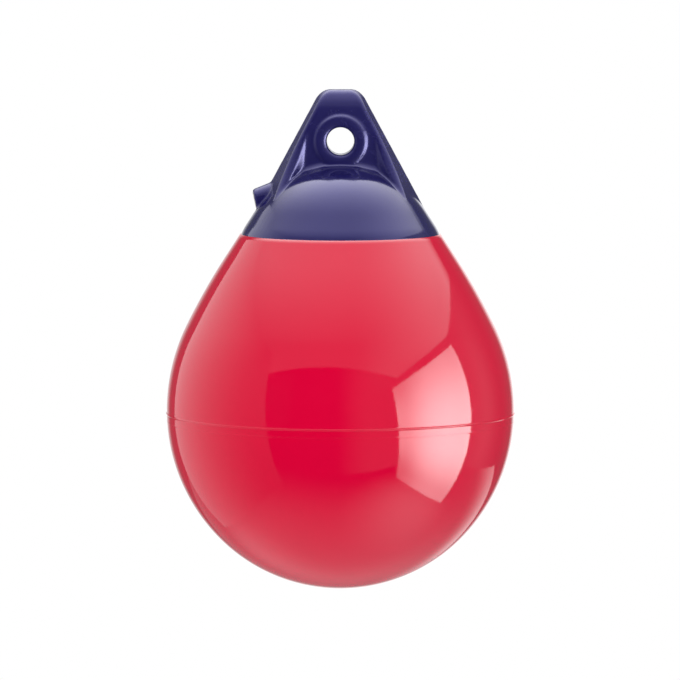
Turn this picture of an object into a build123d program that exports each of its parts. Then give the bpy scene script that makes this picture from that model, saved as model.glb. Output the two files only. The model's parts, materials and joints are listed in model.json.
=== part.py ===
from build123d import *
import math
import os

# An inflatable mooring buoy: a teardrop vinyl bladder that hangs from its rope hold.
# Lengths are in millimetres and angles in degrees. The origin is the centre of the rope eye.
# +Z is up, the eye runs along Y, and the valve is on the -X side of the rope hold.
# Heights named over_belt are measured from the widest plane, the belt.

# Bladder
belt_radius = 101.6             # half of the widest diameter
bowl_depth = 104.3              # belt down to the bottom of the bowl
bowl_turn = 45.0                # where the bilge arc gives way to the round bottom
shoulder_radius = 113.0         # outline arc that starts upright at the belt
shoulder_turn = 26.0            # how far that arc leans in
flank_radius = 380.0            # slow arc from the shoulder to the cone
cone_lean = 33.0                # half angle of the cone
skin_wall = 2.5
seam_over_belt = -1.3           # parting seam of the bladder's mould
seam_width = 1.6
seam_proud = 0.4
skirt_over_belt = 103.4         # colour line, where the rope hold sits on the bladder
neck_step = 8.5                 # shoulder that carries the rope hold, from its edge to the neck
neck_straight = 3.0             # upright part of the neck
neck_slant = 24.0               # how far the cone over that part draws in
neck_slant_turn = 42.0          # that cone's slope, from level
bond_gap = 0.15                 # glue line between neck and rope hold

# Rope hold, one solid moulding
crown_rise = 41.1               # top of the round crown over the colour line
crown_blend_radius = 5.5        # hollow rounding where the pocket floor meets the crown
eye_rise = 13.4                 # centre of the rope eye over the crown's top
eye_radius = 8.0
eye_mouth_round = 2.5           # rounding of each mouth of the eye
collar_band = 7.2               # raised ring round the eye
collar_proud = 1.6              # ring's face over the pocket floor
collar_edge_round = 1.5
loop_band = 14.7                # top of the collar up to the top of the loop
loop_half_width = 9.0           # mid-plane to the front face beside the collar's top
loop_tip_radius = 6.5           # top of the loop, seen from the side
loop_corner_radius = 11.5       # corners of the loop, seen from the front
leg_foot_inset = 1.5            # legs' outer edges inside the cone, at the colour line
loop_half_span = 11.5           # those edges at the top of the loop, out from the axis
leg_band = 7.5                  # leg's face beside the eye
leg_edge_round = 2.2
side_draft = 16.0               # outer sides draw in from the parting plane
flare_radius = 93.0             # the front face sweeps out below the loop
web_step = 0.4                  # pocket floor over the loop's face, at its narrowest
pocket_side_lean = 5.0          # pocket floor's side edges, from upright
pocket_side_draft = 47.5        # pocket's side walls, from square to the floor

# Valve, in a boss on the leg. Depths are measured in from the boss face.
valve_rise = 19.8               # centre of the boss face over the colour line
valve_droop = 12.0              # valve axis points this far below level
boss_proud = 3.9                # centre of the boss face, out from the leg's edge
boss_length = 16.0
boss_draft = 10.0
boss_wall = 1.5                 # round the sleeve's flange
boss_edge_round = 1.7
head_radius = 4.0
head_thickness = 1.9
head_inset = 0.3                # head's face below the boss face
head_clearance = 0.15           # radial, head in its counterbore
seal_thickness = 0.8
seal_edge_gap = 0.2             # washer's edge inside the counterbore
shank_radius = 2.6
shank_length = 5.0
shank_clearance = 0.05          # radial running fit in the sleeve
shank_end_gap = 2.2             # room under the shank for the air hole
shank_tip_chamfer = 0.6
slot_width = 1.2
slot_depth = 1.0
flange_rim = 0.55               # sleeve's flange, round the counterbore
flange_wall = 1.0               # sleeve's flange, below the counterbore
sleeve_wall = 1.25
air_hole_radius = 1.0

# Worked out from the sizes above
crown_over_belt = skirt_over_belt + crown_rise
belt_z = -(crown_over_belt + eye_rise)
skirt_z = belt_z + skirt_over_belt
collar_radius = eye_radius + collar_band
loop_top_z = collar_radius + loop_band
web_half_width = loop_half_width + web_step
collar_half_width = web_half_width + collar_proud
seal_depth = head_inset + head_thickness
floor_depth = seal_depth + seal_thickness
shank_end_depth = floor_depth + shank_length
bore_end_depth = shank_end_depth + shank_end_gap
bore_radius = shank_radius + shank_clearance
sleeve_radius = bore_radius + sleeve_wall
sleeve_length = bore_end_depth + sleeve_wall
counterbore_radius = head_radius + head_clearance
flange_radius = counterbore_radius + flange_rim
boss_radius = flange_radius + boss_wall


def tangent(angle):
    return math.tan(math.radians(angle))


def polar(centre, radius, angle):
    """Point at an angle round a centre, as distance out and height."""
    turn = math.radians(angle)
    return (centre[0] + radius * math.cos(turn), centre[1] + radius * math.sin(turn))


def shoulder_centre():
    return (belt_radius - shoulder_radius, 0.0)


def flank_centre():
    """The flank arc leaves the shoulder arc without a kink, so both centres lie on one line."""
    return polar(shoulder_centre(), shoulder_radius - flank_radius, shoulder_turn)


def cone_point(inset, over_belt):
    """Point of the cone at a height, inset square to its surface."""
    start = polar(flank_centre(), flank_radius, cone_lean)
    out = start[0] - (over_belt - start[1]) * tangent(cone_lean)
    return (out - inset / math.cos(math.radians(cone_lean)), over_belt)


def crown_radius():
    """Radius of the crown's sphere, which touches the cone all round and reaches the crown's top."""
    start = polar(flank_centre(), flank_radius, cone_lean)
    sine = math.sin(math.radians(cone_lean))
    cosine = math.cos(math.radians(cone_lean))
    return (start[0] * cosine + (start[1] - crown_over_belt) * sine) / (1 - sine)


def spin(edges):
    """Turn a closed half outline about the upright axis and lift it to the belt's height."""
    half = make_face(Plane.XZ * (Curve() + edges))
    return Pos(0, 0, belt_z) * revolve(half, Axis.Z)


def bowl_outline(inset):
    """Belt to bottom: a bilge arc, then a round bottom that reaches the bowl's depth."""
    cosine = math.cos(math.radians(bowl_turn))
    rise = 1 + tangent(bowl_turn) - 1 / cosine
    bilge_radius = belt_radius + (bowl_depth - belt_radius) / rise
    bilge_out = belt_radius - bilge_radius
    bilge = CenterArc((bilge_out, 0), bilge_radius - inset, 0, -bowl_turn)
    bottom_centre = (0, bilge_out * tangent(bowl_turn))
    bottom_radius = bilge_radius - inset + bilge_out / cosine
    bottom = CenterArc(bottom_centre, bottom_radius, -bowl_turn, bowl_turn - 90)
    return [bilge, bottom]


def neck_outline(offset, base_over_belt):
    """Neck's side, cone and flat top, moved outwards by an offset, from its base to the axis."""
    radius = cone_point(0, skirt_over_belt)[0] - neck_step
    corner_over_belt = skirt_over_belt + neck_straight + offset * tangent(neck_slant_turn / 2)
    top_radius = radius - neck_slant + offset * tangent(neck_slant_turn / 2)
    top_over_belt = skirt_over_belt + neck_straight + neck_slant * tangent(neck_slant_turn) + offset
    base = (radius + offset, base_over_belt)
    corner = (radius + offset, corner_over_belt)
    brow = (top_radius, top_over_belt)
    return [Line(base, corner), Line(corner, brow), Line(brow, (0, top_over_belt))]


def bladder_form(inset):
    """Solid teardrop at an inset, stepped in to its neck."""
    bowl = bowl_outline(inset)
    shoulder = CenterArc(shoulder_centre(), shoulder_radius - inset, 0, shoulder_turn)
    flank = CenterArc(flank_centre(), flank_radius - inset, shoulder_turn, cone_lean - shoulder_turn)
    cone = Line(flank @ 1, cone_point(inset, skirt_over_belt - inset))
    neck = neck_outline(-inset, skirt_over_belt - inset)
    step = Line(cone @ 1, neck[0] @ 0)
    axis = Line(neck[-1] @ 1, bowl[-1] @ 1)
    return spin([*bowl, shoulder, flank, cone, step, *neck, axis])


def seam_ridge():
    """Low ridge left where the two halves of the mould met."""
    crest = belt_radius + seam_proud
    foot = belt_radius - seam_proud
    half = seam_width / 2
    low_corner = (foot, seam_over_belt - half - seam_proud)
    high_corner = (foot, seam_over_belt + half + seam_proud)
    low_crest = (crest, seam_over_belt - half + seam_proud)
    high_crest = (crest, seam_over_belt + half - seam_proud)
    return spin(Polyline([low_corner, low_crest, high_crest, high_corner], close=True).edges())


def leg_half_span(height):
    """Leg's outer edge at the parting plane, on the line from its foot to the loop."""
    foot = cone_point(0, skirt_over_belt)[0] - leg_foot_inset
    slope = (foot - loop_half_span) / (loop_top_z - skirt_z)
    return loop_half_span + (loop_top_z - height) * slope


def valve_plane(depth):
    """Plane square to the valve axis, at a depth below the boss face, facing out."""
    droop = math.radians(valve_droop)
    outward = Vector(-math.cos(droop), 0, -math.sin(droop))
    height = skirt_z + valve_rise
    face = Vector(-leg_half_span(height) - boss_proud, 0, height)
    return Plane(face - outward * depth, x_dir=(0, 1, 0), z_dir=outward)


def valve_rod(radius, depth_from, depth_to):
    """Round bar on the valve axis between two depths."""
    return extrude(valve_plane(depth_to) * Circle(radius), depth_to - depth_from)


def air_hole():
    """Fine upright hole from the room under the plug down to the air space."""
    top = valve_plane(shank_end_depth + shank_end_gap / 2).origin
    hanging = (Align.CENTER, Align.CENTER, Align.MAX)
    return Pos(top) * Cylinder(air_hole_radius, top.Z - skirt_z, align=hanging)


def make_body_skin():
    return bladder_form(0) + seam_ridge() - bladder_form(skin_wall) - air_hole()


def fin_outline():
    """Front view of the legs and loop. Its top stands clear of the rounded tip seen from the side."""
    top = loop_top_z + loop_tip_radius * tangent(side_draft) ** 2
    foot = leg_half_span(skirt_z)
    crest = leg_half_span(top)
    corners = [(-foot, skirt_z), (foot, skirt_z), (crest, top), (-crest, top)]
    outline = make_face(Polyline(corners, close=True))
    return fillet(outline.vertices().group_by(Axis.Y)[-1], loop_corner_radius)


def fin_side_view():
    """Side view: a rounded tip, a full cheek, then a face that sweeps out to the legs' feet."""
    rise = loop_band - loop_tip_radius
    spare = loop_half_width**2 + rise**2 - loop_tip_radius**2
    cheek_radius = spare / (2 * (loop_half_width - loop_tip_radius))
    cheek_centre = (loop_half_width - cheek_radius, collar_radius)
    cheek_turn = math.degrees(math.atan2(rise, cheek_radius - loop_half_width))
    cheek = CenterArc(cheek_centre, cheek_radius, 0, cheek_turn)
    tip = CenterArc((0, collar_radius + rise), loop_tip_radius, cheek_turn, 90 - cheek_turn)
    sweep_turn = math.degrees(math.asin((collar_radius - skirt_z) / flare_radius))
    sweep = CenterArc((loop_half_width + flare_radius, collar_radius), flare_radius, 180, sweep_turn)
    foot = Line(sweep @ 1, (0, skirt_z))
    half = make_face(Curve() + [tip, cheek, sweep, foot, Line((0, skirt_z), tip @ 1)])
    return half + mirror(half, Plane.YZ)


def is_leg_edge(edge):
    """True for the edges between the front or back face and the drafted outer sides."""
    middle = edge @ 0.5
    off_centre = abs(middle.Y) > leg_edge_round / 2 and abs(middle.X) > leg_edge_round
    return off_centre and middle.Z > skirt_z + leg_edge_round


def fin_block():
    """Legs and loop as one thick plate with rounded edges, before pocket and eye are cut."""
    drafted = extrude(Plane.XZ * fin_outline(), belt_radius / 2, both=True, taper=side_draft)
    side_bar = extrude(Plane.YZ * fin_side_view(), belt_radius, both=True)
    block = drafted & side_bar
    return fillet(block.edges().filter_by(is_leg_edge), leg_edge_round)


def crown_blend():
    """Band left under a ball that rolls round the corner of pocket floor and crown, on the -Y side."""
    ball_out = web_half_width + crown_blend_radius
    ball_up = math.sqrt((crown_radius() + crown_blend_radius) ** 2 - ball_out**2)
    ball_turn = math.degrees(math.atan2(ball_up, ball_out))
    rolled = CenterArc((ball_out, ball_up), crown_blend_radius, 180, ball_turn)
    start = (0, ball_up)
    edges = [rolled, Line(rolled @ 1, (0, 0)), Line((0, 0), start), Line(start, rolled @ 0)]
    band = revolve(make_face(Plane.YZ * (Curve() + edges)), Axis.Y)
    return Pos(0, 0, belt_z + crown_over_belt - crown_radius()) * mirror(band, Plane.XZ)


def pocket_cut():
    """One triangular pocket between legs, collar and crown, on the -Y side."""
    span = leg_half_span(0) - leg_band
    top_half = span - collar_radius * tangent(pocket_side_lean)
    foot_half = span - skirt_z * tangent(pocket_side_lean)
    foot = [(-foot_half, skirt_z), (foot_half, skirt_z)]
    head = [(top_half, collar_radius), (-top_half, collar_radius)]
    floor_plane = Plane((0, -web_half_width, 0), x_dir=(1, 0, 0), z_dir=(0, -1, 0))
    floor = floor_plane * make_face(Polyline([*foot, *head], close=True))
    return extrude(floor, flare_radius / 4, taper=-pocket_side_draft) - crown_blend()


def crown_form():
    """Solid skirt and crown, from the colour line up."""
    edge = cone_point(0, skirt_over_belt)
    dome = CenterArc((0, crown_over_belt - crown_radius()), crown_radius(), cone_lean, 90 - cone_lean)
    base = (0, skirt_over_belt)
    return spin([Line(edge, dome @ 0), dome, Line(dome @ 1, base), Line(base, edge)])


def neck_socket():
    """Space under the crown for the bladder's neck."""
    neck = neck_outline(bond_gap, skirt_over_belt)
    base = (0, skirt_over_belt)
    return spin([*neck, Line(neck[-1] @ 1, base), Line(base, neck[0] @ 0)])


def eye_collar():
    """Raised ring round the eye, on both faces."""
    ring = extrude(Plane.XZ * Circle(collar_radius), collar_half_width, both=True)
    return fillet(ring.edges().filter_by(GeomType.CIRCLE), collar_edge_round)


def eye_hole():
    """Rope hole, a straight bore whose mouths open in a quarter round."""
    bore = extrude(Plane.XZ * Circle(eye_radius), 2 * collar_half_width, both=True)
    mouth_radius = eye_radius + eye_mouth_round
    wall_half = collar_half_width - eye_mouth_round
    mouth = extrude(Plane.XZ.offset(wall_half) * Circle(mouth_radius), 2 * eye_mouth_round)
    lip = Plane.XZ.offset(wall_half) * Torus(mouth_radius, eye_mouth_round)
    flared = mouth - lip
    return bore + flared + mirror(flared, Plane.XZ)


def valve_boss():
    base = boss_radius + boss_length * tangent(boss_draft)
    cone = loft([valve_plane(0) * Circle(boss_radius), valve_plane(boss_length) * Circle(base)])
    rim = cone.edges().filter_by(GeomType.CIRCLE).sort_by(Axis.X)[0]
    return fillet(rim, boss_edge_round)


def sleeve_form():
    """Outside of the sleeve: a flange at the mouth and a slimmer tube behind it."""
    flange = valve_rod(flange_radius, 0, floor_depth + flange_wall)
    return flange + valve_rod(sleeve_radius, 0, sleeve_length)


def make_rope_hold():
    pocket = pocket_cut()
    fin = fin_block() - pocket - mirror(pocket, Plane.XZ) + eye_collar()
    hold = crown_form() + fin + valve_boss() - neck_socket() - eye_hole()
    return hold - sleeve_form() - air_hole()


def make_valve_insert():
    counterbore = valve_rod(counterbore_radius, 0, floor_depth)
    bore = valve_rod(bore_radius, 0, bore_end_depth)
    return sleeve_form() - counterbore - bore - air_hole()


def make_valve_seal():
    ring = valve_rod(counterbore_radius - seal_edge_gap, seal_depth, floor_depth)
    return ring - valve_rod(bore_radius, 0, sleeve_length)


def make_valve_plug():
    head = valve_rod(head_radius, head_inset, seal_depth)
    shank = valve_rod(shank_radius, seal_depth, shank_end_depth)
    tip = shank.edges().filter_by(GeomType.CIRCLE).sort_by(Axis.X)[-1]
    across = valve_plane(head_inset + slot_depth) * Rectangle(3 * head_radius, slot_width)
    return head + chamfer(tip, shank_tip_chamfer) - extrude(across, slot_depth)


parts = {
    "body_skin": make_body_skin,
    "rope_hold": make_rope_hold,
    "valve_insert": make_valve_insert,
    "valve_seal": make_valve_seal,
    "valve_plug": make_valve_plug,
}

os.makedirs("parts", exist_ok=True)
for name, make in parts.items():
    solid = make()
    export_step(solid, "parts/" + name + ".step")
    print(name, "volume", round(solid.volume / 1000, 2), "cm3")
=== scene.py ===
# %% [markdown]
# # An inflatable mooring buoy
# A teardrop bladder of glossy red vinyl hangs from a blue moulded rope hold with one round eye.
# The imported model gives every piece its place. This lesson gives the pieces their looks: a
# bladder whose curve is smooth enough to mirror a studio, a moulding with soft edges, a threaded
# valve plug, and the studio itself, because on a glossy object the studio is most of the picture.

# %% The frame
import json
import math
import bpy
import numpy as np
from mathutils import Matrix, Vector


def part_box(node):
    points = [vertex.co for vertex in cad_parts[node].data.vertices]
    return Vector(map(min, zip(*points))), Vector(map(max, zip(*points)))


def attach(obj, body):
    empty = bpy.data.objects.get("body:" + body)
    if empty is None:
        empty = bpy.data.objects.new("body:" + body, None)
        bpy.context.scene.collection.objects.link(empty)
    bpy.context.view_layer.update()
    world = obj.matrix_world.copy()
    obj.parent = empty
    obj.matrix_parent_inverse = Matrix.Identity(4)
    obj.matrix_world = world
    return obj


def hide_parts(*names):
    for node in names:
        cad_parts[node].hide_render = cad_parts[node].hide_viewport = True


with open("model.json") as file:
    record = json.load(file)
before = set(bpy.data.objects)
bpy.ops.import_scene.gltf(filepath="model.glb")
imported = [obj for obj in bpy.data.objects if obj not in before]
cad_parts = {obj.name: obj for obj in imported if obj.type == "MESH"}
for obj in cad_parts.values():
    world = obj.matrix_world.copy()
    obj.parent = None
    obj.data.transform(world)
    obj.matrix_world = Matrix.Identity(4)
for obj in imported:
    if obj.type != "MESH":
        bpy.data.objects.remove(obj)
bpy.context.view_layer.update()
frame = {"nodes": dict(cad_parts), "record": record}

# %% [markdown]
# ## Sizes
# Lengths are in metres. The origin is the centre of the rope eye, +Z is up, the eye runs along Y,
# and the valve is on the -X side. The bladder's outline is what a mould maker would draw: a few
# arcs that touch without a kink. The same few numbers describe it here, and the heights come from
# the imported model.

# %% Sizes
MM = 0.001
BELT_RADIUS = 101.6 * MM
BOWL_DEPTH = 104.3 * MM
BOWL_TURN = math.radians(45.0)
SHOULDER_RADIUS = 113.0 * MM
SHOULDER_TURN = math.radians(26.0)
FLANK_RADIUS = 380.0 * MM
CONE_LEAN = math.radians(33.0)
NECK_STEP = 8.5 * MM
BELT_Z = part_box("body_skin")[0][2] + BOWL_DEPTH
SKIRT_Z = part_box("rope_hold")[0][2]
print("belt at", round(BELT_Z, 4), "colour line at", round(SKIRT_Z, 4))

# %% [markdown]
# ## Meshes from grids
# A surface of revolution is a function of two parameters: the way along its outline, and the turn
# about the axis. A lathe or Blender's Screw modifier would also make one. Numpy works out the
# whole grid of points at once, so the outline can be sampled as finely as a mirror needs. Columns
# that go right round share their first column, and each pole is one point.

# %% Meshes from grids
def new_piece(name, mesh):
    """An object for a mesh, at the world's origin, with smooth shading."""
    mesh.shade_smooth()
    piece = bpy.data.objects.new(name, mesh)
    bpy.context.scene.collection.objects.link(piece)
    return piece


def revolved(name, radius, height, turns):
    """The outline turned about Z: x = r cos a, y = r sin a, z = h. Both its ends are poles."""
    angle = np.linspace(0, 2 * math.pi, turns, endpoint=False)
    ring_r, ring_z = radius[1:-1], height[1:-1]
    x = np.outer(ring_r, np.cos(angle))
    y = np.outer(ring_r, np.sin(angle))
    z = np.outer(ring_z, np.ones(turns))
    rings = np.stack([x, y, z], -1).reshape(-1, 3)
    points = np.vstack([rings, [[0, 0, height[0]], [0, 0, height[-1]]]])
    index = np.arange(ring_r.size * turns).reshape(ring_r.size, turns)
    beside = np.roll(index, -1, axis=1)
    quads = np.stack([index[:-1], beside[:-1], beside[1:], index[1:]], -1).reshape(-1, 4)
    bottom = np.full(turns, len(points) - 2)
    top = np.full(turns, len(points) - 1)
    low_cap = np.stack([bottom, beside[0], index[0]], -1)
    high_cap = np.stack([top, index[-1], beside[-1]], -1)
    faces = quads.tolist() + low_cap.tolist() + high_cap.tolist()
    mesh = bpy.data.meshes.new(name)
    mesh.from_pydata(points.tolist(), [], faces)
    return new_piece(name, mesh)


def points_of(piece):
    """All points of a piece's mesh as one array."""
    flat = np.empty(3 * len(piece.data.vertices))
    piece.data.vertices.foreach_get("co", flat)
    return flat.reshape(-1, 3)


def move_points(piece, points):
    """Put a piece's points at new places."""
    piece.data.vertices.foreach_set("co", points.ravel())
    piece.data.update()


print("grid tools ready")

# %% [markdown]
# ## The bladder
# The real bladder is rotationally moulded vinyl, pumped tight, so its skin is one smooth curve.
# Facets would break a reflection into steps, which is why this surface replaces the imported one.
# Round its widest plane runs the mould's parting seam, a rounded ridge under half a millimetre
# high, and a few millimetres below it a fainter witness line. Both are real shapes here, added to
# the outline as small bell curves, because a highlight has to bend over them.

# %% The bladder
BLADDER_TURNS = 256
BOTTOM_POINTS = 60
SIDE_POINTS = 70
SHOULDER_POINTS = 40
FLANK_POINTS = 24
CONE_POINTS = 8
SEAM_Z = BELT_Z - 1.3 * MM
SEAM_HEIGHT = 0.4 * MM
SEAM_SPREAD = 0.5 * MM
WITNESS_DROP = 4.7 * MM
WITNESS_HEIGHT = 0.06 * MM
WITNESS_SPREAD = 0.4 * MM
FINE_STEP = 0.125 * MM
FINE_FROM_Z = SEAM_Z - 7.0 * MM
FINE_TO_Z = SEAM_Z + 2.0 * MM


def arc(centre_r, centre_z, radius, start, end, count):
    """Points of a circle arc between two angles from level, as distances out and heights."""
    angle = np.linspace(start, end, count)
    return np.stack([centre_r + radius * np.cos(angle), centre_z + radius * np.sin(angle)])


def bladder_outline():
    """Bottom to neck: round bottom, side, shoulder, flank, cone and step, joined in order.

    The bottom's centre is on the axis and the side's is at the belt's height. Their shared tangent
    at BOWL_TURN and the bowl's depth settle both radii.
    """
    cosine = math.cos(BOWL_TURN)
    tangent = math.tan(BOWL_TURN)
    side_radius = BELT_RADIUS + (BOWL_DEPTH - BELT_RADIUS) / (1 + tangent - 1 / cosine)
    side_r = BELT_RADIUS - side_radius
    bottom_radius = side_radius + side_r / cosine
    bottom = arc(0, side_r * tangent, bottom_radius, -math.pi / 2, -BOWL_TURN, BOTTOM_POINTS)
    side = arc(side_r, 0, side_radius, -BOWL_TURN, 0, SIDE_POINTS)
    shoulder_r = BELT_RADIUS - SHOULDER_RADIUS
    shoulder = arc(shoulder_r, 0, SHOULDER_RADIUS, 0, SHOULDER_TURN, SHOULDER_POINTS)
    apart = SHOULDER_RADIUS - FLANK_RADIUS
    flank_r = shoulder_r + apart * math.cos(SHOULDER_TURN)
    flank_z = apart * math.sin(SHOULDER_TURN)
    flank = arc(flank_r, flank_z, FLANK_RADIUS, SHOULDER_TURN, CONE_LEAN, FLANK_POINTS)
    start_r, start_z = flank[:, -1]
    cone_z = np.linspace(start_z, SKIRT_Z - BELT_Z, CONE_POINTS)
    cone = np.stack([start_r - (cone_z - start_z) * math.tan(CONE_LEAN), cone_z])
    step = np.array([[cone[0, -1] - NECK_STEP, 0.0], [cone_z[-1], cone_z[-1]]])
    joined = np.hstack([bottom, side[:, 1:], shoulder[:, 1:], flank[:, 1:], cone[:, 1:], step])
    return joined[0], joined[1] + BELT_Z


def bell(height, middle, peak, spread):
    """Bell curve: peak times e to the minus (distance over spread) squared."""
    return peak * np.exp(-(((height - middle) / spread) ** 2))


radius, height = bladder_outline()
CONE_END_R = radius[-3]
fine_z = np.arange(FINE_FROM_Z, FINE_TO_Z, FINE_STEP)
fine_r = np.interp(fine_z, height[:-2], radius[:-2])
fine_r = fine_r + bell(fine_z, SEAM_Z, SEAM_HEIGHT, SEAM_SPREAD)
fine_r = fine_r + bell(fine_z, SEAM_Z - WITNESS_DROP, WITNESS_HEIGHT, WITNESS_SPREAD)
below = height < fine_z[0]
above = height > fine_z[-1]
radius = np.concatenate([radius[below], fine_r, radius[above]])
height = np.concatenate([height[below], fine_z, height[above]])
bladder = revolved("bladder", radius, height, BLADDER_TURNS)
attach(bladder, "buoy")
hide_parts("body_skin")
print("bladder faces", len(bladder.data.polygons))

# %% [markdown]
# ## The rope hold
# This moulding is poured thick, and no edge of it is sharp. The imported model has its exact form,
# with small fillets on some edges only. Bevelling every other edge by hand would be slow, so a
# copy is welded, rebuilt on a fine grid of voxels, and relaxed. That rounds every edge by about
# half a millimetre, and each rounded edge then catches a line of light.
#
# The skirt's lower edge is the exception: it lies flush on the bladder, with no groove. So before
# the rebuild that edge is pulled straight down, inside the bladder, where its rounding can't be
# seen. Just above the colour line the relaxed surface is then eased back to the cone's exact line.

# %% The rope hold
HOLD_VOXEL = 0.75 * MM
HOLD_PASSES = 6
WELD_REACH = 0.001 * MM
RELAX_SHARE = 0.5
TUCK = 1.5 * MM
RIM_REACH = 10.0 * MM
RIM_DEPTH = 0.7 * MM
SAME = 0.01 * MM


def copied(name, node):
    """A piece with a copy of a CAD node's mesh."""
    return new_piece(name, frame["nodes"][node].data.copy())


def soften(piece, voxel, passes):
    """Weld a piece, rebuild it on voxels, smooth it by some passes, and keep the result."""
    weld = piece.modifiers.new("weld", "WELD")
    weld.merge_threshold = WELD_REACH
    remesh = piece.modifiers.new("remesh", "REMESH")
    remesh.mode = "VOXEL"
    remesh.voxel_size = voxel
    relax = piece.modifiers.new("relax", "SMOOTH")
    relax.factor = RELAX_SHARE
    relax.iterations = passes
    view = bpy.context.evaluated_depsgraph_get()
    mesh = bpy.data.meshes.new_from_object(piece.evaluated_get(view))
    piece.modifiers.clear()
    piece.data = mesh
    mesh.shade_smooth()
    print(piece.name, "triangles", 2 * len(mesh.polygons))


hold = copied("rope_hold_skin", "rope_hold")
points = points_of(hold)
lower_edge = points[:, 2] < SKIRT_Z + SAME
points[lower_edge, 2] -= TUCK
move_points(hold, points)
soften(hold, HOLD_VOXEL, HOLD_PASSES)

points = points_of(hold)
out = np.hypot(points[:, 0], points[:, 1])
rise = points[:, 2] - SKIRT_Z
gap = CONE_END_R - np.maximum(rise, 0) * math.tan(CONE_LEAN) - out
near = np.clip(1 - np.abs(gap) / RIM_DEPTH, 0, 1)
low = np.clip(1 - rise / RIM_REACH, 0, 1) * (rise > -RIM_DEPTH)
share = near * low
points[:, :2] *= (1 + share * gap / np.maximum(out, SAME))[:, None]
move_points(hold, points)
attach(hold, "buoy")
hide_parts("rope_hold")
print("edge points tucked in", int(lower_edge.sum()), "rim points eased", int((share > 0).sum()))

# %% [markdown]
# ## The valve
# A slotted nylon plug screws into a nylon sleeve, and a rubber washer under its head seals the
# air in. The solids leave out the thread, so it is cut here. A thread is a wave that climbs as it
# goes round: its phase is the way along the axis over the pitch, less the turn about the axis.
# The plug moves out by one pitch a turn in the motion model too, so its thread always follows
# itself, and the sleeve's groove lies where the plug has its crest.

# %% The valve
PITCH = 2.0 * MM
THREAD_DEPTH = 0.32 * MM
THREAD_START = 3.4 * MM
THREAD_END = 9.6 * MM
THREAD_REACH = 0.2 * MM
SHANK_RADIUS = 2.6 * MM
BORE_RADIUS = 2.65 * MM
VALVE_VOXEL = 0.12 * MM
VALVE_PASSES = 2
plug_turn = next(j for j in frame["record"]["behaviour"]["joints"] if j["name"] == "plug_turn")
valve_face = np.array(plug_turn["pos_m"])
valve_axis = np.array(plug_turn["axis"])
valve_side = np.array([0.0, 1.0, 0.0])
valve_up = np.cross(valve_axis, valve_side)


def thread_cut(piece, surface_radius, toward, crest_first):
    """Cut a thread into a round surface.

    Each point near the surface moves in (toward -1) or out (toward 1) by THREAD_DEPTH times a
    triangle wave of the depth over the pitch less the turn. The wave fades at both ends.
    """
    points = points_of(piece)
    depth = -(points - valve_face) @ valve_axis
    across = points - valve_face + np.outer(depth, valve_axis)
    turned = np.arctan2(across @ valve_up, across @ valve_side) / (2 * math.pi)
    wave = np.abs(2 * np.mod(-depth / PITCH - turned, 1.0) - 1)
    wave = wave if crest_first else 1 - wave
    fade_in = np.clip((depth - THREAD_START) / PITCH, 0, 1)
    fade_out = np.clip((THREAD_END - depth) / PITCH, 0, 1)
    out = np.linalg.norm(across, axis=1)
    on_surface = np.abs(out - surface_radius) < THREAD_REACH
    shift = np.where(on_surface, toward * THREAD_DEPTH * wave * fade_in * fade_out, 0)
    move_points(piece, points + across * (shift / np.maximum(out, SAME))[:, None])


plug = copied("screw_plug", "valve_plug")
soften(plug, VALVE_VOXEL, VALVE_PASSES)
thread_cut(plug, SHANK_RADIUS, -1, True)
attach(plug, "plug")
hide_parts("valve_plug")
sleeve = copied("threaded_sleeve", "valve_insert")
soften(sleeve, VALVE_VOXEL, VALVE_PASSES)
thread_cut(sleeve, BORE_RADIUS, 1, False)
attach(sleeve, "buoy")
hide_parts("valve_insert")
print("thread pitch", PITCH, "depth", THREAD_DEPTH)

# %% [markdown]
# ## Shader maths
# A material's maths reads best as Python. One small class wraps a number socket and lets + - *
# build the Math nodes, also with a plain number on the left. Every other node comes from one
# method, which sets the node's settings first and then its sockets.

# %% Shader maths
class Value:
    """A number socket that Python's operators can reach."""

    def __init__(self, tree, socket):
        self.tree = tree
        self.socket = socket

    def math(self, operation, first, second):
        """A Math node of two numbers."""
        settings = {"operation": operation}
        node = Nodes(self.tree).add("ShaderNodeMath", settings, {0: first, 1: second})
        return Value(self.tree, node.outputs[0])

    def __add__(self, other):
        return self.math("ADD", self, other)

    def __radd__(self, other):
        return self.math("ADD", other, self)

    def __sub__(self, other):
        return self.math("SUBTRACT", self, other)

    def __rsub__(self, other):
        return self.math("SUBTRACT", other, self)

    def __mul__(self, other):
        return self.math("MULTIPLY", self, other)

    def __rmul__(self, other):
        return self.math("MULTIPLY", other, self)

    def __pow__(self, other):
        return self.math("POWER", self, other)


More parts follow.
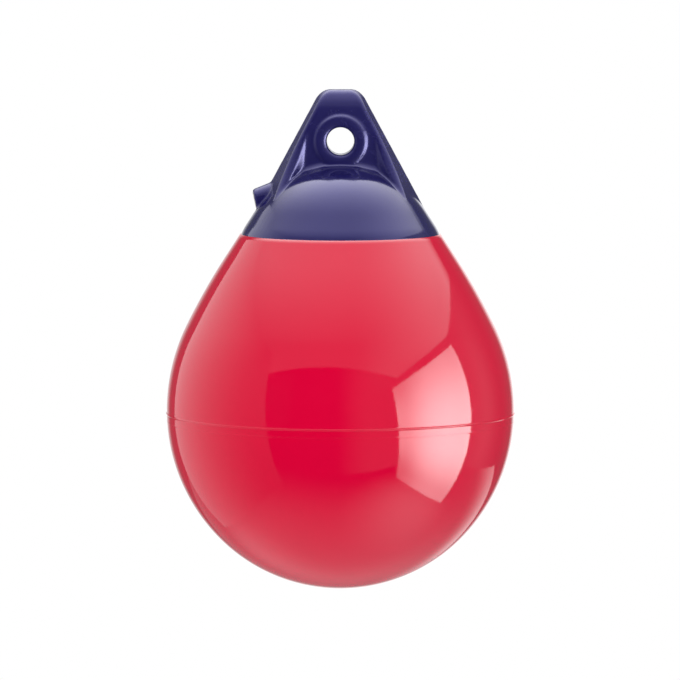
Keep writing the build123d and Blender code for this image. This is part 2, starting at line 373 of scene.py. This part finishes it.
class Nodes:
    """The node tree of a material or of the world."""

    def __init__(self, tree):
        self.tree = tree

    def add(self, kind, settings=None, sockets=None):
        """A node of a type, with its settings set first, then values or links of its sockets."""
        node = self.tree.nodes.new(kind)
        for name, setting in (settings or {}).items():
            setattr(node, name, setting)
        for name, given in (sockets or {}).items():
            self.give(node.inputs[name], given)
        return node

    def give(self, slot, given):
        """Link a socket, or set its own value."""
        if isinstance(given, Value):
            given = given.socket
        if isinstance(given, bpy.types.NodeSocket):
            self.tree.links.new(given, slot)
        else:
            slot.default_value = given

    def value(self, kind, settings=None, sockets=None, output=0):
        """The same, returned as a number."""
        return Value(self.tree, self.add(kind, settings, sockets).outputs[output])

    def place(self):
        """The point of the surface, in the object's own coordinates."""
        return self.add("ShaderNodeTexCoord").outputs["Object"]

    def axes(self, vector):
        """A vector's X, Y and Z."""
        split = self.add("ShaderNodeSeparateXYZ", None, {"Vector": vector})
        return [Value(self.tree, split.outputs[axis]) for axis in "XYZ"]

    def noise(self, scale, detail=3.0, roughness=0.5):
        """Cloudy noise with so many waves to the metre, about 0.5 on average."""
        place = self.place()
        given = {"Vector": place, "Scale": scale, "Detail": detail, "Roughness": roughness}
        return self.value("ShaderNodeTexNoise", None, given, "Fac")

    def step(self, number, start, end, low=0.0, high=1.0):
        """Smooth step of a number, from low before start to high past end."""
        sockets = {"Value": number, "From Min": start, "From Max": end}
        sockets.update({"To Min": low, "To Max": high})
        smooth = {"interpolation_type": "SMOOTHSTEP"}
        return self.value("ShaderNodeMapRange", smooth, sockets)

    def mixed(self, share, first, second):
        """Colour that goes from the first to the second as the share goes from 0 to 1."""
        given = {0: share, 6: (*first, 1), 7: (*second, 1)}
        return self.add("ShaderNodeMix", {"data_type": "RGBA"}, given).outputs[2]

    def bump(self, height, distance, under=None):
        """Normal of a surface raised by a height from 0 to 1 times a distance in metres."""
        given = {"Height": height, "Distance": distance, "Strength": 1.0}
        if under is not None:
            given["Normal"] = under
        return self.add("ShaderNodeBump", None, given).outputs[0]


def dress(name, piece):
    """A fresh Principled material on a piece: its nodes, and its shader."""
    material = bpy.data.materials.new(name)
    material.use_nodes = True
    piece.data.materials.clear()
    piece.data.materials.append(material)
    return Nodes(material.node_tree), material.node_tree.nodes["Principled BSDF"]


print("operators + - * ** ready")

# %% [markdown]
# ## The red vinyl
# Moulded vinyl copies its polished mould, so it mirrors the studio almost sharply. Three small
# things keep it from looking like glass: the pigment is a little cloudy, handling has left some
# patches duller than others, and the skin has a slow ripple of a few hundredths of a millimetre,
# which makes the edges of reflections waver. Fine dust dulls the witness line under the seam.
#
# A noise is named by its waves to the metre, and a fade by where it starts and where it ends.

# %% The red vinyl
RED_DEEP = (0.710, 0.0004, 0.0375)
RED_LIGHT = (0.730, 0.0010, 0.0405)
RED_CLOUDS = 26
RED_HANDLED = 38
HANDLED_FADE = (0.55, 0.75)
DUST_FADE_IN = (SEAM_Z - 6.2 * MM, SEAM_Z - 4.7 * MM)
DUST_FADE_OUT = (SEAM_Z - 4.6 * MM, SEAM_Z - 3.4 * MM)
RED_ROUGH = 0.05
RED_ROUGH_CLOUDS = 0.02
RED_ROUGH_HANDLED = 0.035
RED_ROUGH_DUST = 0.05
RED_RIPPLES = 46
RED_RIPPLE_HEIGHT = 0.06 * MM
RED_PEEL = 1100
RED_PEEL_HEIGHT = 0.0012 * MM

nodes, shader = dress("red_vinyl", bladder)
cloud = nodes.noise(RED_CLOUDS, detail=4.0)
nodes.give(shader.inputs["Base Color"], nodes.mixed(cloud, RED_DEEP, RED_LIGHT))
handled = nodes.step(nodes.noise(RED_HANDLED, detail=5.0, roughness=0.6), *HANDLED_FADE)
z = nodes.axes(nodes.place())[2]
dust = nodes.step(z, *DUST_FADE_IN) * nodes.step(z, *DUST_FADE_OUT, 1, 0)
rough = RED_ROUGH + RED_ROUGH_CLOUDS * cloud
rough = rough + RED_ROUGH_HANDLED * handled + RED_ROUGH_DUST * dust
nodes.give(shader.inputs["Roughness"], rough)
ripple = nodes.bump(nodes.noise(RED_RIPPLES, detail=2.0), RED_RIPPLE_HEIGHT)
peel = nodes.bump(nodes.noise(RED_PEEL, detail=2.0), RED_PEEL_HEIGHT, ripple)
nodes.give(shader.inputs["Normal"], peel)
print("red vinyl", RED_DEEP, RED_LIGHT)

# %% [markdown]
# ## The blue vinyl
# The rope hold is the same stuff in deep blue, poured thicker. Its crown is nearly as glossy as
# the bladder, but the legs and the eye came out of a blasted mould: the photo shows a fine grain
# there, and softer highlights. Lines and hands have rubbed patches of it duller. The pigment also
# tints the shine, which a constant specular tint gives.
#
# The crown is a ball, so a point's distance from the ball's centre tells crown from legs.

# %% The blue vinyl
BLUE_DEEP = (0.0128, 0.0106, 0.086)
BLUE_LIGHT = (0.0160, 0.0134, 0.100)
BLUE_SHEEN = (0.59, 0.57, 1.0, 1.0)
BLUE_SHEEN_LEVEL = 0.77
BLUE_CLOUDS = 70
BLUE_RUBBED = 120
RUBBED_FADE = (0.52, 0.72)
CROWN_RADIUS = 58.7 * MM
CROWN_MIDDLE_Z = -72.1 * MM
SATIN_FADE = (CROWN_RADIUS + 1 * MM, CROWN_RADIUS + 4 * MM)
CROWN_ROUGH = 0.085
CROWN_ROUGH_CLOUDS = 0.03
CROWN_ROUGH_RUBBED = 0.05
SATIN_ROUGH_RUBBED = 0.07
SATIN_ROUGH = 0.13
BLUE_GRAIN = 700
BLUE_GRAIN_HEIGHT = 0.005 * MM
BLUE_RIPPLES = 90
BLUE_RIPPLE_HEIGHT = 0.05 * MM

nodes, shader = dress("blue_vinyl", hold)
cloud = nodes.noise(BLUE_CLOUDS, detail=4.0)
nodes.give(shader.inputs["Base Color"], nodes.mixed(cloud, BLUE_DEEP, BLUE_LIGHT))
shader.inputs["Specular Tint"].default_value = BLUE_SHEEN
shader.inputs["Specular IOR Level"].default_value = BLUE_SHEEN_LEVEL
rubbed = nodes.step(nodes.noise(BLUE_RUBBED, detail=5.0, roughness=0.6), *RUBBED_FADE)
x, y, z = nodes.axes(nodes.place())
crown_rise = z - CROWN_MIDDLE_Z
from_crown = (x * x + y * y + crown_rise * crown_rise) ** 0.5
satin = nodes.step(from_crown, *SATIN_FADE)
rough = CROWN_ROUGH + CROWN_ROUGH_CLOUDS * cloud
rough = rough + (CROWN_ROUGH_RUBBED + SATIN_ROUGH_RUBBED * satin) * rubbed + SATIN_ROUGH * satin
nodes.give(shader.inputs["Roughness"], rough)
grain = nodes.bump(nodes.noise(BLUE_GRAIN, detail=3.0), BLUE_GRAIN_HEIGHT)
ripple = nodes.bump(nodes.noise(BLUE_RIPPLES, detail=2.0), BLUE_RIPPLE_HEIGHT, grain)
nodes.give(shader.inputs["Normal"], ripple)
print("blue vinyl", BLUE_DEEP, BLUE_LIGHT)

# %% [markdown]
# ## Nylon and rubber
# Natural nylon is a warm white that takes a dull shine and picks up grime in its pores. The
# washer is matt black rubber with a pale bloom on it. Both are the same recipe with other
# numbers: a noise mixes two colours and roughens the surface, and a finer one gives the pores.

# %% Nylon and rubber
NYLON_CLEAN = (0.78, 0.76, 0.70)
NYLON_GRIMY = (0.60, 0.57, 0.50)
NYLON_GRIME = 900
GRIME_FADE = (0.5, 0.8)
NYLON_ROUGH = 0.34
NYLON_ROUGH_GRIME = 0.16
NYLON_PORES = 4000
RUBBER_BLACK = (0.018, 0.018, 0.018)
RUBBER_PALE = (0.050, 0.048, 0.045)
RUBBER_BLOOM = 1500
RUBBER_ROUGH = 0.55
RUBBER_ROUGH_BLOOM = 0.2
RUBBER_PORES = 3000
PORE_HEIGHT = 0.01 * MM

for piece in (plug, sleeve):
    nodes, shader = dress("white_nylon", piece)
    grime = nodes.step(nodes.noise(NYLON_GRIME, detail=4.0), *GRIME_FADE)
    nodes.give(shader.inputs["Base Color"], nodes.mixed(grime, NYLON_CLEAN, NYLON_GRIMY))
    nodes.give(shader.inputs["Roughness"], NYLON_ROUGH + NYLON_ROUGH_GRIME * grime)
    nodes.give(shader.inputs["Normal"], nodes.bump(nodes.noise(NYLON_PORES, detail=3.0), PORE_HEIGHT))

nodes, shader = dress("black_rubber", frame["nodes"]["valve_seal"])
bloom = nodes.noise(RUBBER_BLOOM, detail=4.0)
nodes.give(shader.inputs["Base Color"], nodes.mixed(bloom, RUBBER_BLACK, RUBBER_PALE))
nodes.give(shader.inputs["Roughness"], RUBBER_ROUGH + RUBBER_ROUGH_BLOOM * bloom)
nodes.give(shader.inputs["Normal"], nodes.bump(nodes.noise(RUBBER_PORES, detail=2.0), PORE_HEIGHT))
print("small pieces dressed")

# %% [markdown]
# ## The floor
# The buoy hangs, so the floor lies far below it: a plain pale disc that takes its shadow. The
# camera sees it fade into white, the colour of the paper behind a catalogue shot.

# %% The floor
FLOOR_Z = BELT_Z - 1.1
FLOOR_RADIUS = 3.0
FLOOR_SIDES = 96
FLOOR_PAINT = (0.9, 0.9, 0.9, 1)
FLOOR_ROUGH = 0.9
SHADOW_SHARE = 0.25
PAPER_FADE = (0.8, 2.6)

turn = np.linspace(0, 2 * math.pi, FLOOR_SIDES, endpoint=False)
flat = np.full(FLOOR_SIDES, FLOOR_Z)
disc = np.stack([FLOOR_RADIUS * np.cos(turn), FLOOR_RADIUS * np.sin(turn), flat], -1)
mesh = bpy.data.meshes.new("floor")
mesh.from_pydata(disc.tolist(), [], [list(range(FLOOR_SIDES))])
floor = new_piece("floor", mesh)
nodes, shader = dress("pale_floor", floor)
shader.inputs["Base Color"].default_value = FLOOR_PAINT
shader.inputs["Roughness"].default_value = FLOOR_ROUGH
x, y = nodes.axes(nodes.place())[:2]
from_middle = (x * x + y * y) ** 0.5
seen = nodes.value("ShaderNodeLightPath", output="Is Camera Ray")
white = nodes.add("ShaderNodeEmission", None, {"Strength": 1.0})
share = seen * nodes.step(from_middle, *PAPER_FADE, 1 - SHADOW_SHARE, 1.0)
layers = {0: share, 1: shader.outputs[0], 2: white.outputs[0]}
faded = nodes.add("ShaderNodeMixShader", None, layers)
nodes.give(nodes.tree.nodes["Material Output"].inputs["Surface"], faded.outputs[0])
floor.visible_glossy = False
print("floor at", round(FLOOR_Z, 3))

# %% [markdown]
# ## The studio
# Glossy vinyl shows the room it was shot in, and the photo shows that room well: a bright softbox
# on the right, a pale wall on the left, a ceiling that glows behind the buoy, a floor lit by the
# softbox, and nothing but darkness where the camera stands. Each is a panel that only reflections
# see, with a brightness that changes smoothly across it. Area lamps that reflections don't see
# light the vinyl's own colour, so the two can be set apart.
#
# From here on a fade has four numbers: where it starts, where it ends, and its level before and
# after. A spot has a middle in X and Y, and the distances where its fall starts and ends.

# %% Panels that only reflections see
def panel(name, corners, brightness):
    """A glowing four-cornered panel. Its brightness is a function of X, Y and Z."""
    mesh = bpy.data.meshes.new(name)
    mesh.from_pydata([tuple(c) for c in corners], [], [(0, 1, 2, 3)])
    piece = bpy.data.objects.new(name, mesh)
    bpy.context.scene.collection.objects.link(piece)
    material = bpy.data.materials.new(name)
    material.use_nodes = True
    nodes = Nodes(material.node_tree)
    nodes.tree.nodes.clear()
    level = brightness(nodes, *nodes.axes(nodes.place()))
    glow = nodes.add("ShaderNodeEmission", None, {"Strength": level})
    nodes.add("ShaderNodeOutputMaterial", None, {"Surface": glow.outputs[0]})
    mesh.materials.append(material)
    piece.visible_camera = False
    piece.visible_diffuse = False
    piece.visible_shadow = False
    piece.visible_transmission = False
    print(name, "panel")


def flat_panel(name, plan, z, brightness):
    """A level panel from the X and Y of its four corners."""
    panel(name, [(x, y, z) for x, y in plan], brightness)


def spot(nodes, x, y, middle_x, middle_y, inner, outer):
    """1 within the inner distance of a middle, falling smoothly to 0 at the outer one."""
    away_x = x - middle_x
    away_y = y - middle_y
    return nodes.step((away_x * away_x + away_y * away_y) ** 0.5, inner, outer, 1, 0)


print("panel tools ready")

# %% [markdown]
# The softbox stands close on the right and leans a little. It is brightest just below the belt's
# height and dimmer towards its near side.

# %% The softbox
SOFTBOX_MIDDLE = Vector((0.998, -0.586, BELT_Z - 0.301))
SOFTBOX_FACING = Vector((-0.989, 0.083, -0.12)).normalized()
SOFTBOX_ROLL = math.radians(-3.6)
SOFTBOX_WIDTH = 1.262
SOFTBOX_HEIGHT = 1.536
SOFTBOX_LEVEL = 11.7
SOFTBOX_BRIGHT_Z = BELT_Z - 0.17
SOFTBOX_FADE_UPRIGHT = (0.1, 0.75, 1.0, 0.42)
SOFTBOX_FADE_NEAR = (-1.1, -0.45, 0.5, 1.0)
SOFTBOX_FADE_FAR = (-0.35, 0.0, 1.0, 0.83)


def softbox_level(nodes, x, y, z):
    """Fades away from its brightest height, and towards its near and far sides."""
    drop = z - SOFTBOX_BRIGHT_Z
    upright = nodes.step((drop * drop) ** 0.5, *SOFTBOX_FADE_UPRIGHT)
    across = nodes.step(y, *SOFTBOX_FADE_NEAR) * nodes.step(y, *SOFTBOX_FADE_FAR)
    return SOFTBOX_LEVEL * upright * across


level_way = Vector((0, 0, 1)).cross(SOFTBOX_FACING).normalized()
up_way = SOFTBOX_FACING.cross(level_way)
cosine, sine = math.cos(SOFTBOX_ROLL), math.sin(SOFTBOX_ROLL)
half_wide = (level_way * cosine + up_way * sine) * SOFTBOX_WIDTH / 2
half_high = (up_way * cosine - level_way * sine) * SOFTBOX_HEIGHT / 2
signs = [(-1, -1), (1, -1), (1, 1), (-1, 1)]
softbox_corners = [SOFTBOX_MIDDLE + half_wide * i + half_high * j for i, j in signs]
panel("softbox", softbox_corners, softbox_level)

# %% [markdown]
# The wall stands on the left, darker towards the camera. The ceiling's glow sits above and
# behind the buoy, and the softbox lights its right side. The floor is dark towards the camera,
# and bright under the softbox.

# %% Wall, ceiling and floor glow
WALL_X = -1.0
WALL_FOOT_Z = BELT_Z - 1.3
WALL_TOP_Z = BELT_Z + 0.83
WALL_FEET_Y = (-1.03, 1.19)
WALL_HEADS_Y = (1.19, -0.79)
WALL_FADE_DEEP = (-0.75, 0.5, 0.28, 0.97)
WALL_FADE_UP = (BELT_Z - 0.9, BELT_Z + 0.7, 0.82, 1.5)

CEILING_Z = BELT_Z + 1.0
CEILING_PLAN = [(-2.2, -1.51), (1.64, -2.01), (1.64, 1.35), (-2.2, 1.35)]
CEILING_LEVEL = 0.55
GLOW_LEVEL = 2.9
GLOW_SPOT = (-0.05, 0.45, 0.0, 0.95)
HALO_LEVEL = 1.4
HALO_SPOT = (-0.05, 0.45, 0.75, 1.6)
CEILING_FADE_RIGHT = (0.1, 1.3, 0.0, 1.4)
CEILING_FADE_NEAR = (-1.6, 0.2, 0.35, 1.0)
CEILING_FADE_REAR = (0.9, 1.35, 1.0, 0.35)

FLOOR_GLOW_Z = FLOOR_Z + 0.005
FLOOR_PLAN = [(-2.2, -1.6), (2.4, -1.6), (2.4, 2.6), (-2.2, 2.6)]
FLOOR_FADE_NEAR = (-1.6, 0.1, 0.0, 0.74)
FLOOR_MIDDLE_SPOT = (0.0, 0.0, 0.5, 1.7)
FLOOR_OUTER_SHARE = 0.5
SOFTBOX_SPILL_SPOT = (0.85, -0.5, 0.0, 1.0)
WALL_SPILL_LEVEL = 0.3
WALL_SPILL_SPOT = (-0.75, 0.65, 0.0, 0.8)
FLOOR_FADE_REAR = (0.9, 2.2, 0.0, 0.8)
FLOOR_FADE_RIGHT = (0.1, 0.8, 0.0, 1.0)


def wall_level(nodes, x, y, z):
    """Brighter away from the camera, and brighter higher up."""
    return nodes.step(y, *WALL_FADE_DEEP) * nodes.step(z, *WALL_FADE_UP)


def ceiling_level(nodes, x, y, z):
    """A plain level, a glow with a wider halo, and the softbox's light on the right."""
    glow = GLOW_LEVEL * spot(nodes, x, y, *GLOW_SPOT)
    halo = HALO_LEVEL * spot(nodes, x, y, *HALO_SPOT)
    right = nodes.step(x, *CEILING_FADE_RIGHT) * nodes.step(y, *CEILING_FADE_NEAR)
    return (CEILING_LEVEL + glow + halo + right) * nodes.step(y, *CEILING_FADE_REAR)


def floor_level(nodes, x, y, z):
    """Dark near the camera and dimmer far out, with light by softbox, wall and rear right."""
    toward_camera = nodes.step(y, *FLOOR_FADE_NEAR)
    middle = spot(nodes, x, y, *FLOOR_MIDDLE_SPOT)
    far_out = 1 - FLOOR_OUTER_SHARE * (1 - middle)
    by_softbox = spot(nodes, x, y, *SOFTBOX_SPILL_SPOT)
    by_wall = WALL_SPILL_LEVEL * spot(nodes, x, y, *WALL_SPILL_SPOT)
    rear_right = nodes.step(y, *FLOOR_FADE_REAR) * nodes.step(x, *FLOOR_FADE_RIGHT)
    return toward_camera * far_out + by_softbox + by_wall + rear_right


wall_feet = [(WALL_X, y, WALL_FOOT_Z) for y in WALL_FEET_Y]
wall_heads = [(WALL_X, y, WALL_TOP_Z) for y in WALL_HEADS_Y]
panel("left_wall", [*wall_feet, *wall_heads], wall_level)
flat_panel("ceiling", CEILING_PLAN, CEILING_Z, ceiling_level)
flat_panel("floor_glow", FLOOR_PLAN, FLOOR_GLOW_Z, floor_level)

# %% [markdown]
# Three soft lamps light the vinyl's own colour. A lamp's power is the brightness of its face
# times pi times its area, so each is given as a brightness, which doesn't change with its size.

# %% The lamps
def lamp(name, place, size, brightness):
    """A soft square lamp that points at the buoy and that reflections don't see."""
    data = bpy.data.lights.new(name, "AREA")
    data.size = size
    data.energy = brightness * math.pi * size * size
    holder = bpy.data.objects.new(name, data)
    holder.location = place
    toward = Vector((0, 0, BELT_Z)) - Vector(place)
    holder.rotation_euler = toward.to_track_quat("-Z", "Y").to_euler()
    holder.visible_glossy = False
    bpy.context.scene.collection.objects.link(holder)
    print(name, "lamp, power", round(data.energy, 1))


lamp("key", place=(1.3, -1.6, 1.0), size=1.2, brightness=3.4)
lamp("fill", place=(-1.6, -1.4, 0.2), size=1.2, brightness=2.2)
lamp("back", place=(0.2, 1.6, 1.2), size=1.4, brightness=2.0)

# %% [markdown]
# The world is white to the camera and a plain grey to everything that it lights. Reflections see
# a dim room instead: grey on the right and at the back, white paper straight behind the buoy, and
# black where the camera stands.

# %% The world
PLAIN_LEVEL = 0.68
SOFTBOX_SIDE_FADE = (0.75, 0.95, 0.0, 0.20)
RIGHT_FADE = (-0.08, 0.35, 0.0, 0.32)
RIGHT_FADE_REAR = (0.3, 0.75, 1.0, 0.0)
REAR_FADE = (0.1, 0.6, 0.0, 0.15)
PAPER_FADE_IN = (0.9, 0.985, 0.0, 1.2)
PAPER_FADE_LEFT = (-0.2, 0.1, 0.5, 1.0)

world = bpy.data.worlds.new("studio")
bpy.context.scene.world = world
world.use_nodes = True
nodes = Nodes(world.node_tree)
path = nodes.add("ShaderNodeLightPath")
camera_ray = Value(nodes.tree, path.outputs["Is Camera Ray"])
glossy_ray = Value(nodes.tree, path.outputs["Is Glossy Ray"])
way_x, way_y = nodes.axes(nodes.add("ShaderNodeTexCoord").outputs["Generated"])[:2]
right_side = nodes.step(way_x, *RIGHT_FADE) + nodes.step(way_x, *SOFTBOX_SIDE_FADE)
right_side = right_side * nodes.step(way_y, *RIGHT_FADE_REAR)
rear = nodes.step(way_y, *REAR_FADE)
paper = nodes.step(way_y, *PAPER_FADE_IN) * nodes.step(way_x, *PAPER_FADE_LEFT)
room = right_side + rear + paper
strength = camera_ray + glossy_ray * room + (1 - camera_ray - glossy_ray) * PLAIN_LEVEL
background = nodes.tree.nodes["Background"]
background.inputs["Color"].default_value = (1, 1, 1, 1)
nodes.give(background.inputs["Strength"], strength)
print("world", world.name)

# %% [markdown]
# ## The camera
# The photo was taken from far away and a little above, with a long lens, so the buoy's belt shows
# as a flat ellipse. The lens follows from the width that the picture takes in at that distance.

# %% The camera
CAMERA_PLACE = Vector((0, -3.2, 0.1661))
CAMERA_AIM = Vector((-0.0003, 0, -0.1167))
SEEN_WIDTH = 0.3974
SENSOR_WIDTH = 36.0
NEAR_CLIP = 0.05

camera_data = bpy.data.cameras.new("camera")
camera = bpy.data.objects.new("camera", camera_data)
bpy.context.scene.collection.objects.link(camera)
toward_buoy = CAMERA_AIM - CAMERA_PLACE
camera.location = CAMERA_PLACE
camera.rotation_euler = toward_buoy.to_track_quat("-Z", "Y").to_euler()
camera_data.sensor_width = SENSOR_WIDTH
camera_data.lens = SENSOR_WIDTH * toward_buoy.length / SEEN_WIDTH
camera_data.clip_start = NEAR_CLIP
bpy.context.scene.camera = camera
bpy.context.scene.view_settings.view_transform = "Standard"
print("lens", round(camera_data.lens, 1), "mm")
